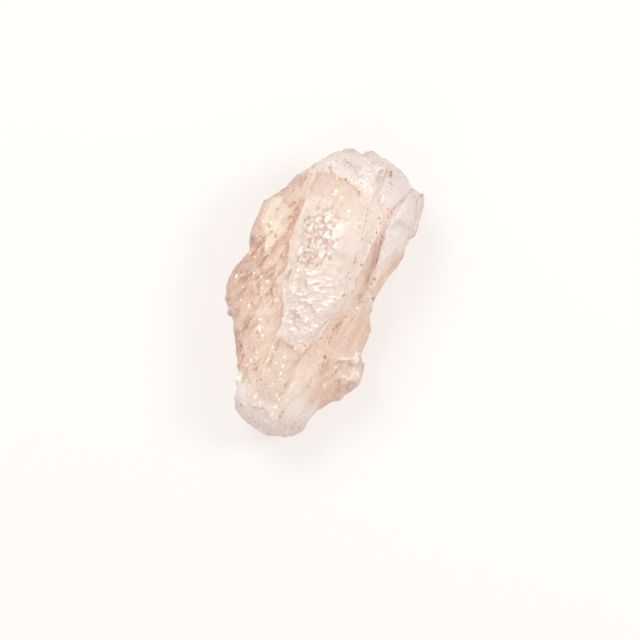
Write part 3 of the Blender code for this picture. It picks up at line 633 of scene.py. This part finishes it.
def stone_layers(skin, marks):
    """The layers that the stone's material reads."""
    top = skin.top
    left, flake = marks["left"], marks["flake"]
    grey = strongest(skin, GREY_FIELDS)
    deep = strongest(skin, DEEP_FIELDS)
    deep += 0.18 + 0.5 * marks["band"] + 0.2 * skin.fields(BLOCK_HOLLOWS, 0.2)
    dark = marks["streak"] + marks["crack"] * rise(-skin.y, -15, -13)
    dark += 0.9 * marks["groove"] + 0.6 * marks["line"]
    dark += 1.6 * marks["cut"] + 0.3 * marks["trough"] + 0.35 * marks["thread"]
    dark += 0.5 * marks["band"] * left
    pale = 0.6 * marks["rim"] + 0.6 * skin.strokes(BLOCK_EDGES, 0.3) + 0.6 * skin.field(FOOT_LEFT, 0.25)
    dusty = skin.strokes([LEDGE, LEDGE_INNER, VALLEY_SIDE, TONGUE, CRACK_UNDER_TOP], 0.5)
    chipped = left + 0.9 * skin.field(LOWER_MIDDLE, 0.4) + 0.5 * marks["hidden"] + 0.4 * flake
    return {
        "deep": deep * (1 - 0.8 * flake) * (1 - 0.8 * grey) + 0.46 * (1 - top),
        "pale": pale + 0.15 * (marks["rippled"] + marks["crazed"]),
        "grey": grey,
        "shade": strongest(skin, SHADED_FIELDS),
        "cream": np.maximum(flake, skin.field(CREAM_PATCH, 0.25)),
        "dark": dark * (1 - marks["smooth"]),
        # White on the crests is a painted highlight; on the cells it is partly milky colour and partly
        # painted highlight
        "white": 0.75 * marks["crest"] + 0.65 * marks["cell"],
        "chip": marks["chip"] * chipped,
        "dusty": dusty + 0.15 * grey,
        "side": 1 - top,
        "speck": skin.hills(SPECKS, 3.7),
        "fleck": skin.hills(FLECKS_AND_GLINTS, 2.6),
        "stain": skin.hills(STAINS, 1.6),
    }


def add_layers(piece, layers):
    """Writes the layers on the piece's vertices, each value held between 0 and 1."""
    for name, values in layers.items():
        layer = piece.data.attributes.new(name, "FLOAT", "POINT")
        layer.data.foreach_set("value", np.clip(values, 0, 1).astype(np.float32))


class Value:
    """A number that varies over the stone. Its operators add Math nodes."""

    def __init__(self, nodes, socket):
        self.nodes = nodes
        self.socket = socket

    def math(self, operation, *terms):
        inputs = dict(enumerate(terms))
        return self.nodes.value("ShaderNodeMath", {"operation": operation}, inputs)

    def __add__(self, other):
        return self.math("ADD", self, other)

    def __radd__(self, other):
        return self.math("ADD", other, self)

    def __sub__(self, other):
        return self.math("SUBTRACT", self, other)

    def __rsub__(self, other):
        return self.math("SUBTRACT", other, self)

    def __mul__(self, other):
        return self.math("MULTIPLY", self, other)

    def __rmul__(self, other):
        return self.math("MULTIPLY", other, self)

    def clamp(self):
        return self.nodes.value("ShaderNodeClamp", {}, {"Value": self})


class MaterialNodes:
    """The nodes of a material."""

    def __init__(self, material):
        material.use_nodes = True
        self.tree = material.node_tree
        self.tree.nodes.clear()

    def add(self, kind, settings=None, inputs=None):
        """A node of a kind, with its settings and the values or links of its sockets."""
        node = self.tree.nodes.new(kind)
        for name, value in (settings or {}).items():
            if name == "stops":
                self.set_stops(node.color_ramp, value)
            else:
                setattr(node, name, value)
        for name, value in (inputs or {}).items():
            self.feed(node.inputs[name], value)
        return node

    def set_stops(self, ramp, stops):
        while len(ramp.elements) < len(stops):
            ramp.elements.new(1.0)
        for element, (place, shade) in zip(ramp.elements, stops):
            element.position = place
            element.color = (shade, shade, shade, 1)

    def feed(self, socket, value):
        """Links a value, a colour or a vector to a socket, or sets the socket to a plain number."""
        if isinstance(value, Value):
            self.tree.links.new(value.socket, socket)
        elif isinstance(value, bpy.types.NodeSocket):
            self.tree.links.new(value, socket)
        else:
            socket.default_value = value

    def value(self, kind, settings=None, inputs=None, output=0):
        return Value(self, self.add(kind, settings, inputs).outputs[output])

    def layer(self, name):
        """A layer of the piece's vertices."""
        return self.value("ShaderNodeAttribute", {"attribute_name": name}, output="Fac")

    def ramp(self, value, low, high):
        """0 below low and 1 above high."""
        return self.value("ShaderNodeValToRGB", {"stops": [(low, 0.0), (high, 1.0)]}, {"Fac": value})

    def blend(self, share, first, second):
        """A colour between two others."""
        node = self.add("ShaderNodeMix", {"data_type": "RGBA"})
        self.feed(node.inputs[0], share.clamp())
        self.feed(node.inputs[6], first)
        self.feed(node.inputs[7], second)
        return node.outputs[2]


def stone_material(settings):
    material = bpy.data.materials.new("morganite")
    nodes = MaterialNodes(material)
    place = nodes.add("ShaderNodeTexCoord").outputs["Object"]

    def grain(size, turn=0.0):
        """Places measured in grains of the given lengths, in millimetres, turned about the upright."""
        return nodes.add("ShaderNodeMapping", {"vector_type": "TEXTURE"}, {
            "Vector": place,
            "Rotation": (0, 0, math.radians(turn)),
            "Scale": [length * MM for length in size],
        }).outputs[0]

    def mist(size, turn=0.0, detail=3.0, roughness=0.55):
        """Soft noise, about 0.5 in the mean."""
        inputs = {"Vector": grain(size, turn), "Scale": 1.0, "Detail": detail, "Roughness": roughness}
        return nodes.value("ShaderNodeTexNoise", inputs=inputs)

    deep, pale, grey = nodes.layer("deep"), nodes.layer("pale"), nodes.layer("grey")
    cream, dark, white = nodes.layer("cream"), nodes.layer("dark"), nodes.layer("white")
    chip, dusty, stain = nodes.layer("chip"), nodes.layer("dusty"), nodes.layer("stain")

    tone = mist((2.6, 4.5, 3.0))
    fine = mist((0.34, 0.5, 0.34), 0, 4.0, 0.65)
    mottle = nodes.ramp(mist((0.55, 0.8, 0.6), 0, 4.0, 0.65), 0.42, 0.60)
    threads = nodes.ramp(mist((0.24, 1.9, 0.4), -12), 0.46, 0.64)
    patches = nodes.ramp(mist((1.0, 2.2, 1.1), -18), 0.40, 0.60)
    veils = nodes.ramp(mist((0.8, 3.2, 1.0), -6), 0.46, 0.66)
    # Painted sparkle highlights: small white blobs put into the colour
    painted_sparkles = nodes.ramp(mist((0.22, 0.40, 0.30), -20, 2.0, 0.5), 0.61, 0.67)

    colours = {
        name: (*getattr(settings, name), 1)
        for name in ("peach", "deep_peach", "brown", "milky", "cream", "rust", "ochre")
    }
    warmth = deep * (0.54 + 0.28 * threads + 0.48 * patches) + 0.5 * (tone - 0.45)
    colour = nodes.blend(warmth, colours["peach"], colours["deep_peach"])
    colour = nodes.blend(veils * (0.40 - 0.25 * deep), colour, colours["milky"])
    colour = nodes.blend(grey * 0.85, colour, GREY)
    shaded = nodes.blend(deep, SHADE, DEEP_SHADE)
    colour = nodes.blend(nodes.layer("shade") * 0.74, colour, shaded)
    colour = nodes.blend(pale * (0.45 + 0.55 * mottle), colour, colours["milky"])
    colour = nodes.blend(cream * (0.20 + 0.5 * mottle), colour, colours["cream"])
    grooves = nodes.ramp(dark + 0.9 * (fine - 0.5), 0.25, 0.75)
    colour = nodes.blend(grooves * (0.34 + 0.36 * mottle), colour, colours["brown"])
    # Painted highlight: white on the ripple crests, and partly on the milky cells
    crisp = nodes.ramp(white + 1.0 * (fine - 0.5), 0.28, 0.68)
    colour = nodes.blend(crisp * (0.55 + 0.4 * mottle), colour, WHITE_AND_HIGHLIGHT)
    colour = nodes.blend(nodes.ramp(chip + 0.8 * (fine - 0.5), 0.40, 0.60) * 0.8, colour, WHITE_AND_HIGHLIGHT)
    # Painted sparkle highlights, stronger where the stone is deep in colour
    colour = nodes.blend(painted_sparkles * (0.2 + 0.5 * deep) * (1 - grey), colour, WHITE_AND_HIGHLIGHT)
    colour = nodes.blend(nodes.ramp(stain + 1.2 * (fine - 0.5), 0.35, 0.6) * 0.75, colour, colours["ochre"])

    grit = nodes.value("ShaderNodeTexVoronoi", {"feature": "F1"}, {
        "Vector": grain((0.55, 0.8, 0.6), -6), "Scale": 1.0, "Randomness": 1.0,
    }, "Distance")
    sparse = nodes.ramp(mist((2.2, 3.0, 2.4)), 0.48, 0.60)
    gritty = nodes.ramp(1 - grit, 0.72, 0.80) * (0.4 * sparse + dusty)
    colour = nodes.blend(gritty * 0.85, colour, colours["rust"])
    speck = nodes.ramp(nodes.layer("speck") + 0.5 * (fine - 0.5), 0.68, 0.80)
    colour = nodes.blend(speck * 0.9, colour, colours["rust"])
    # Flecks: partly yellow specks in the stone and partly painted glints, with a white painted middle
    dashes = mist((0.15, 0.32, 0.15), -25, 2.0, 0.5)
    fleck_and_glint_level = nodes.layer("fleck") + 1.6 * (dashes - 0.5)
    fleck = nodes.ramp(fleck_and_glint_level, 0.69, 0.76)
    colour = nodes.blend(fleck, colour, FLECK_AND_GLINT_GOLD)
    colour = nodes.blend(nodes.ramp(fleck_and_glint_level, 0.80, 0.92), colour, FLECK_AND_GLINT_MIDDLE)

    roughness = (0.03 + 0.09 * tone + 0.08 * pale + 0.04 * deep).clamp()
    height = fine * 0.8 + mist((0.26, 1.6, 0.4), -10) * 0.8 + mottle * 0.3
    bump = nodes.add("ShaderNodeBump", inputs={"Height": height, "Strength": 0.75, "Distance": 0.18 * MM})
    clear = nodes.add("ShaderNodeBsdfPrincipled", inputs={
        "Base Color": colour, "Roughness": roughness, "IOR": IOR, "Transmission Weight": TRANSMISSION,
        "Normal": bump.outputs["Normal"],
    })
    # A faint painted glow in the flecks, though they are no lamp
    painted_glint_glow = nodes.blend(fleck, BLACK, PAINTED_GLINT_GLOW)
    cloudy = nodes.add("ShaderNodeBsdfPrincipled", inputs={
        "Base Color": colour, "Roughness": roughness, "IOR": IOR, "Normal": bump.outputs["Normal"],
        "Emission Color": painted_glint_glow, "Emission Strength": 0.25,
    })
    haze = settings.haze - 0.12 * nodes.layer("side") + 0.3 * pale + 0.4 * white + 0.25 * cream
    haze = haze + 0.5 * fleck + 0.3 * speck + 0.2 * chip
    surface = nodes.add("ShaderNodeMixShader", inputs={
        0: haze.clamp(), 1: clear.outputs["BSDF"], 2: cloudy.outputs["BSDF"],
    })
    inside = nodes.add("ShaderNodeVolumeAbsorption", inputs={
        "Color": INSIDE, "Density": settings.depth_of_colour,
    })
    out = nodes.add("ShaderNodeOutputMaterial", inputs={
        "Surface": surface.outputs["Shader"], "Volume": inside.outputs["Volume"],
    })
    out.is_active_output = True
    return material


class MORGANITE_OT_crystal(bpy.types.Operator):
    """Make the crystal from its solid: a finer skin with shingles, columns, cells, ripples and grooves"""

    bl_idname = "morganite.crystal"
    bl_label = "Crystal"

    def execute(self, context):
        settings = context.scene.morganite_crystal
        noise.seed_set(settings.seed)
        piece = duplicate_node("crystal")
        apply_modifier(piece, "REMESH", mode="VOXEL", voxel_size=settings.fineness)
        apply_modifier(piece, "SMOOTH", factor=0.5, iterations=2)
        skin = Skin(piece)
        marks = stone_marks(skin)
        raise_skin(piece, relief(skin, marks, settings))
        apply_modifier(piece, "SMOOTH", factor=0.5, iterations=1)
        add_layers(piece, stone_layers(skin, marks))
        bpy.ops.object.shade_smooth()
        piece.data.materials.clear()
        piece.data.materials.append(stone_material(settings))
        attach(piece, "root")
        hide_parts(NODE)
        return {"FINISHED"}


class MORGANITE_OT_stage(bpy.types.Operator):
    """Set up the pale glowing floor, the soft lights and the camera that looks down on the crystal"""

    bl_idname = "morganite.stage"
    bl_label = "Stage"

    def execute(self, context):
        settings = context.scene.morganite_stage
        self.add_floor(settings)
        self.add_light("key light", *KEY_LIGHT, settings.key_power)
        self.add_light("side light", *SIDE_LIGHT, settings.side_power)
        self.add_light("foot light", *FOOT_LIGHT, FOOT_SHARE * settings.side_power)
        world = bpy.data.worlds.new("studio")
        world.use_nodes = True
        background = world.node_tree.nodes["Background"]
        background.inputs["Color"].default_value = (1.0, 0.985, 0.97, 1)
        background.inputs["Strength"].default_value = settings.room_light
        context.scene.world = world
        self.add_camera(context, settings)
        context.scene.view_settings.view_transform = "Standard"
        return {"FINISHED"}

    def add_floor(self, settings):
        bpy.ops.object.select_all(action="DESELECT")
        bpy.ops.mesh.primitive_plane_add(size=settings.floor_width, location=(0, 0, 0))
        floor = bpy.context.object
        floor.name = "floor"
        material = bpy.data.materials.new("floor")
        nodes = MaterialNodes(material)
        skin = nodes.add("ShaderNodeBsdfPrincipled", inputs={
            "Base Color": (0.257, 0.245, 0.237, 1),
            "Roughness": 0.7,
            "Emission Color": (0.958, 0.916, 0.886, 1),
            "Emission Strength": 0.68,
        })
        nodes.add("ShaderNodeOutputMaterial", inputs={"Surface": skin.outputs["BSDF"]})
        floor.data.materials.append(material)

    def add_light(self, name, place, size, power):
        bpy.ops.object.light_add(type="AREA", location=place)
        light = bpy.context.object
        light.name = name
        light.data.shape = "SQUARE"
        light.data.size = size
        light.data.energy = power
        towards = Vector((0, 0, STONE_MIDDLE)) - Vector(place)
        light.rotation_euler = towards.to_track_quat("-Z", "Y").to_euler()

    def add_camera(self, context, settings):
        away = PICTURE_WIDTH * settings.lens / SENSOR_WIDTH
        place = (*CAMERA_OVER, STONE_MIDDLE + away)
        bpy.ops.object.camera_add(location=place, rotation=(0, 0, CAMERA_TURN))
        camera = bpy.context.object
        camera.name = "camera"
        camera.data.lens = settings.lens
        camera.data.sensor_width = SENSOR_WIDTH
        camera.data.clip_start = 0.01
        context.scene.camera = camera


class MORGANITE_PT_panel(bpy.types.Panel):
    bl_idname = "MORGANITE_PT_panel"
    bl_label = "Rough Morganite"
    bl_space_type = "VIEW_3D"
    bl_region_type = "UI"
    bl_category = "Morganite"

    def draw(self, context):
        layout = self.layout
        crystal = context.scene.morganite_crystal
        stage = context.scene.morganite_stage
        layout.operator(MORGANITE_OT_crystal.bl_idname)
        for name in crystal.bl_rna.properties.keys():
            if name not in ("rna_type", "name"):
                layout.prop(crystal, name)
        layout.operator(MORGANITE_OT_stage.bl_idname)
        for name in stage.bl_rna.properties.keys():
            if name not in ("rna_type", "name"):
                layout.prop(stage, name)


CLASSES = (CrystalSettings, StageSettings, MORGANITE_OT_crystal, MORGANITE_OT_stage, MORGANITE_PT_panel)


def register():
    for cls in CLASSES:
        bpy.utils.register_class(cls)
    bpy.types.Scene.morganite_crystal = PointerProperty(type=CrystalSettings)
    bpy.types.Scene.morganite_stage = PointerProperty(type=StageSettings)


def unregister():
    del bpy.types.Scene.morganite_stage
    del bpy.types.Scene.morganite_crystal
    for cls in reversed(CLASSES):
        bpy.utils.unregister_class(cls)


def main():
    register()
    bpy.ops.morganite.crystal()
    bpy.ops.morganite.stage()


if __name__ == "__main__":
    main()
